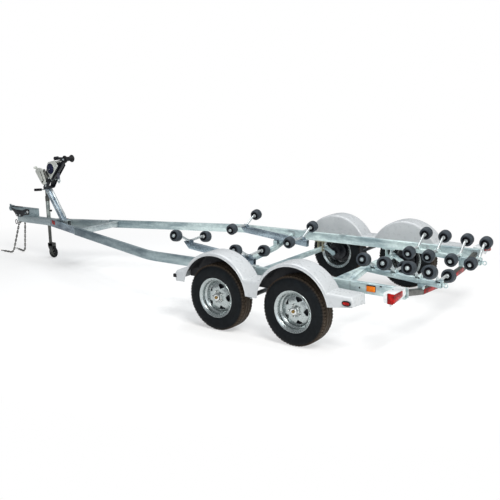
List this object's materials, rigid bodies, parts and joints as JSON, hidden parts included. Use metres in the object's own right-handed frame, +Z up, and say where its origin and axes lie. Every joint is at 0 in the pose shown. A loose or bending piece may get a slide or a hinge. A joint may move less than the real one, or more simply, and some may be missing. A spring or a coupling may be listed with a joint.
{
  "type": "boat trailer",
  "caption": "Tandem-axle boat trailer with galvanised frame, tilting roller carriers, twin-arch fenders, winch post, coupler and a wheeled jack.",
  "frame": {"origin": "on the ground, at the middle of the overall length and width", "axes": "+X to the rear of the trailer, +Y to starboard, +Z up"},
  "size_m": [7.2477, 2.628, 1.514],
  "materials": {
    "galvanised": "hot-dip galvanised, dull spangle",
    "zinc": "bright zinc plate",
    "black_steel": "black powder coat",
    "fender": "pale grey moulded plastic, semi-gloss",
    "tyre": "moulded rubber",
    "rim": "bright galvanised",
    "roller": "charcoal rubber",
    "strap": "wound webbing between steel flanges",
    "lamp_housing": "pale grey plate",
    "red_lens": "ribbed red lens",
    "amber_lens": "ribbed amber lens"
  },
  "bodies": {
    "chassis": {"rail_left": "galvanised", "rail_right": "galvanised", "tongue": "galvanised", "front_cross_tube": "galvanised", "drop_crossmembers": "galvanised", "axles": "galvanised", "hangers": "galvanised", "fender_left": "fender", "fender_right": "fender", "fender_brackets": "black_steel", "lamp_housings": "lamp_housing", "red_lenses": "red_lens", "amber_lenses": "amber_lens", "rear_beams": "galvanised", "winch_post": "galvanised", "winch_frame": "zinc", "bow_stop": "black_steel", "jack_tube": "zinc", "coupler": "zinc", "safety_chains": "zinc"},
    "road_wheel_front_left": {"tyre_front_left": "tyre", "wheel_front_left": "rim"},
    "road_wheel_front_right": {"tyre_front_right": "tyre", "wheel_front_right": "rim"},
    "road_wheel_rear_left": {"tyre_rear_left": "tyre", "wheel_rear_left": "rim"},
    "road_wheel_rear_right": {"tyre_rear_right": "tyre", "wheel_rear_right": "rim"},
    "front_carrier_left": {"front_beam_left": "galvanised"},
    "front_carrier_right": {"front_beam_right": "galvanised"},
    "roller_front_left_outer_1": {"roller_front_left_outer_1": "roller"},
    "roller_front_left_outer_2": {"roller_front_left_outer_2": "roller"},
    "roller_front_left_inner_1": {"roller_front_left_inner_1": "roller"},
    "roller_front_left_inner_2": {"roller_front_left_inner_2": "roller"},
    "roller_front_right_outer_1": {"roller_front_right_outer_1": "roller"},
    "roller_front_right_outer_2": {"roller_front_right_outer_2": "roller"},
    "roller_front_right_inner_1": {"roller_front_right_inner_1": "roller"},
    "roller_front_right_inner_2": {"roller_front_right_inner_2": "roller"},
    "roller_rear_left_outer_1": {"roller_rear_left_outer_1": "roller"},
    "roller_rear_left_outer_2": {"roller_rear_left_outer_2": "roller"},
    "roller_rear_left_outer_3": {"roller_rear_left_outer_3": "roller"},
    "roller_rear_left_outer_4": {"roller_rear_left_outer_4": "roller"},
    "roller_rear_left_inner_1": {"roller_rear_left_inner_1": "roller"},
    "roller_rear_left_inner_2": {"roller_rear_left_inner_2": "roller"},
    "roller_rear_left_inner_3": {"roller_rear_left_inner_3": "roller"},
    "roller_rear_left_inner_4": {"roller_rear_left_inner_4": "roller"},
    "roller_rear_right_outer_1": {"roller_rear_right_outer_1": "roller"},
    "roller_rear_right_outer_2": {"roller_rear_right_outer_2": "roller"},
    "roller_rear_right_outer_3": {"roller_rear_right_outer_3": "roller"},
    "roller_rear_right_outer_4": {"roller_rear_right_outer_4": "roller"},
    "roller_rear_right_inner_1": {"roller_rear_right_inner_1": "roller"},
    "roller_rear_right_inner_2": {"roller_rear_right_inner_2": "roller"},
    "roller_rear_right_inner_3": {"roller_rear_right_inner_3": "roller"},
    "roller_rear_right_inner_4": {"roller_rear_right_inner_4": "roller"},
    "bow_roller": {"bow_roller": "roller"},
    "winch_drum": {"winch_drum": "strap"},
    "winch_crank": {"winch_crank": "zinc"},
    "jack_leg": {"jack_leg": "zinc"},
    "jack_fork": {"jack_fork": "zinc"},
    "jack_wheel": {"jack_wheel": "roller"}
  },
  "joints": [
    {"name": "wheel_front_left_spin", "type": "hinge", "parent": "chassis", "child": "road_wheel_front_left", "pos_m": [1.57, -1.186, 0.332], "axis": [0, 1, 0], "continuous": true},
    {"name": "wheel_front_right_spin", "type": "hinge", "parent": "chassis", "child": "road_wheel_front_right", "pos_m": [1.57, 1.186, 0.332], "axis": [0, 1, 0], "continuous": true},
    {"name": "wheel_rear_left_spin", "type": "hinge", "parent": "chassis", "child": "road_wheel_rear_left", "pos_m": [2.47, -1.186, 0.332], "axis": [0, 1, 0], "continuous": true},
    {"name": "wheel_rear_right_spin", "type": "hinge", "parent": "chassis", "child": "road_wheel_rear_right", "pos_m": [2.47, 1.186, 0.332], "axis": [0, 1, 0], "continuous": true},
    {"name": "front_carrier_left_tilt", "type": "hinge", "parent": "chassis", "child": "front_carrier_left", "pos_m": [1.07, -0.53, 0.512], "axis": [0, 1, 0], "range_deg": [-8, 8]},
    {"name": "front_carrier_right_tilt", "type": "hinge", "parent": "chassis", "child": "front_carrier_right", "pos_m": [1.07, 0.53, 0.512], "axis": [0, 1, 0], "range_deg": [-8, 8]},
    {"name": "roller_front_left_outer_1_spin", "type": "hinge", "parent": "front_carrier_left", "child": "roller_front_left_outer_1", "pos_m": [0.617, -0.757, 0.7715], "axis": [0, -0.9816, 0.1908], "continuous": true},
    {"name": "roller_front_left_outer_2_spin", "type": "hinge", "parent": "front_carrier_left", "child": "roller_front_left_outer_2", "pos_m": [1.438, -0.757, 0.691], "axis": [0, -0.9816, 0.1908], "continuous": true},
    {"name": "roller_front_left_inner_1_spin", "type": "hinge", "parent": "front_carrier_left", "child": "roller_front_left_inner_1", "pos_m": [0.617, -0.252, 0.67149], "axis": [0, -0.9816, 0.1908], "continuous": true},
    {"name": "roller_front_left_inner_2_spin", "type": "hinge", "parent": "front_carrier_left", "child": "roller_front_left_inner_2", "pos_m": [1.438, -0.252, 0.591], "axis": [0, -0.9816, 0.1908], "continuous": true},
    {"name": "roller_front_right_outer_1_spin", "type": "hinge", "parent": "front_carrier_right", "child": "roller_front_right_outer_1", "pos_m": [0.617, 0.757, 0.7715], "axis": [0, 0.9816, 0.1908], "continuous": true},
    {"name": "roller_front_right_outer_2_spin", "type": "hinge", "parent": "front_carrier_right", "child": "roller_front_right_outer_2", "pos_m": [1.438, 0.757, 0.691], "axis": [0, 0.9816, 0.1908], "continuous": true},
    {"name": "roller_front_right_inner_1_spin", "type": "hinge", "parent": "front_carrier_right", "child": "roller_front_right_inner_1", "pos_m": [0.617, 0.252, 0.67149], "axis": [0, 0.9816, 0.1908], "continuous": true},
    {"name": "roller_front_right_inner_2_spin", "type": "hinge", "parent": "front_carrier_right", "child": "roller_front_right_inner_2", "pos_m": [1.438, 0.252, 0.591], "axis": [0, 0.9816, 0.1908], "continuous": true},
    {"name": "roller_rear_left_outer_1_spin", "type": "hinge", "parent": "chassis", "child": "roller_rear_left_outer_1", "pos_m": [2.896, -0.708, 0.75482], "axis": [0, -0.9816, 0.1908], "continuous": true},
    {"name": "roller_rear_left_outer_2_spin", "type": "hinge", "parent": "chassis", "child": "roller_rear_left_outer_2", "pos_m": [3.106, -0.708, 0.74197], "axis": [0, -0.9816, 0.1908], "continuous": true},
    {"name": "roller_rear_left_outer_3_spin", "type": "hinge", "parent": "chassis", "child": "roller_rear_left_outer_3", "pos_m": [3.347, -0.708, 0.72723], "axis": [0, -0.9816, 0.1908], "continuous": true},
    {"name": "roller_rear_left_outer_4_spin", "type": "hinge", "parent": "chassis", "child": "roller_rear_left_outer_4", "pos_m": [3.545, -0.708, 0.71512], "axis": [0, -0.9816, 0.1908], "continuous": true},
    {"name": "roller_rear_left_inner_1_spin", "type": "hinge", "parent": "chassis", "child": "roller_rear_left_inner_1", "pos_m": [2.896, -0.281, 0.62582], "axis": [0, -0.9816, 0.1908], "continuous": true},
    {"name": "roller_rear_left_inner_2_spin", "type": "hinge", "parent": "chassis", "child": "roller_rear_left_inner_2", "pos_m": [3.106, -0.281, 0.61297], "axis": [0, -0.9816, 0.1908], "continuous": true},
    {"name": "roller_rear_left_inner_3_spin", "type": "hinge", "parent": "chassis", "child": "roller_rear_left_inner_3", "pos_m": [3.347, -0.281, 0.59823], "axis": [0, -0.9816, 0.1908], "continuous": true},
    {"name": "roller_rear_left_inner_4_spin", "type": "hinge", "parent": "chassis", "child": "roller_rear_left_inner_4", "pos_m": [3.545, -0.281, 0.58612], "axis": [0, -0.9816, 0.1908], "continuous": true},
    {"name": "roller_rear_right_outer_1_spin", "type": "hinge", "parent": "chassis", "child": "roller_rear_right_outer_1", "pos_m": [2.896, 0.708, 0.75482], "axis": [0, 0.9816, 0.1908], "continuous": true},
    {"name": "roller_rear_right_outer_2_spin", "type": "hinge", "parent": "chassis", "child": "roller_rear_right_outer_2", "pos_m": [3.106, 0.708, 0.74197], "axis": [0, 0.9816, 0.1908], "continuous": true},
    {"name": "roller_rear_right_outer_3_spin", "type": "hinge", "parent": "chassis", "child": "roller_rear_right_outer_3", "pos_m": [3.347, 0.708, 0.72723], "axis": [0, 0.9816, 0.1908], "continuous": true},
    {"name": "roller_rear_right_outer_4_spin", "type": "hinge", "parent": "chassis", "child": "roller_rear_right_outer_4", "pos_m": [3.545, 0.708, 0.71512], "axis": [0, 0.9816, 0.1908], "continuous": true},
    {"name": "roller_rear_right_inner_1_spin", "type": "hinge", "parent": "chassis", "child": "roller_rear_right_inner_1", "pos_m": [2.896, 0.281, 0.62582], "axis": [0, 0.9816, 0.1908], "continuous": true},
    {"name": "roller_rear_right_inner_2_spin", "type": "hinge", "parent": "chassis", "child": "roller_rear_right_inner_2", "pos_m": [3.106, 0.281, 0.61297], "axis": [0, 0.9816, 0.1908], "continuous": true},
    {"name": "roller_rear_right_inner_3_spin", "type": "hinge", "parent": "chassis", "child": "roller_rear_right_inner_3", "pos_m": [3.347, 0.281, 0.59823], "axis": [0, 0.9816, 0.1908], "continuous": true},
    {"name": "roller_rear_right_inner_4_spin", "type": "hinge", "parent": "chassis", "child": "roller_rear_right_inner_4", "pos_m": [3.545, 0.281, 0.58612], "axis": [0, 0.9816, 0.1908], "continuous": true},
    {"name": "bow_roller_spin", "type": "hinge", "parent": "chassis", "child": "bow_roller", "pos_m": [-1.992, 0, 1.462], "axis": [0, 1, 0], "continuous": true},
    {"name": "winch_drum_spin", "type": "hinge", "parent": "chassis", "child": "winch_drum", "pos_m": [-2.325, 0, 1.312], "axis": [0, 1, 0], "continuous": true},
    {"name": "winch_crank_spin", "type": "hinge", "parent": "chassis", "child": "winch_crank", "pos_m": [-2.405, 0, 1.14], "axis": [0, 1, 0], "continuous": true},
    {"name": "jack_leg_lift", "type": "slide", "parent": "chassis", "child": "jack_leg", "axis": [0, 0, 1], "range_m": [0, 0.24]},
    {"name": "jack_fork_swivel", "type": "hinge", "parent": "jack_leg", "child": "jack_fork", "pos_m": [-2.6, 0.08, 0.2], "axis": [0, 0, 1], "continuous": true},
    {"name": "jack_wheel_spin", "type": "hinge", "parent": "jack_fork", "child": "jack_wheel", "pos_m": [-2.548, 0.08, 0.08], "axis": [0, 1, 0], "continuous": true}
  ]
}
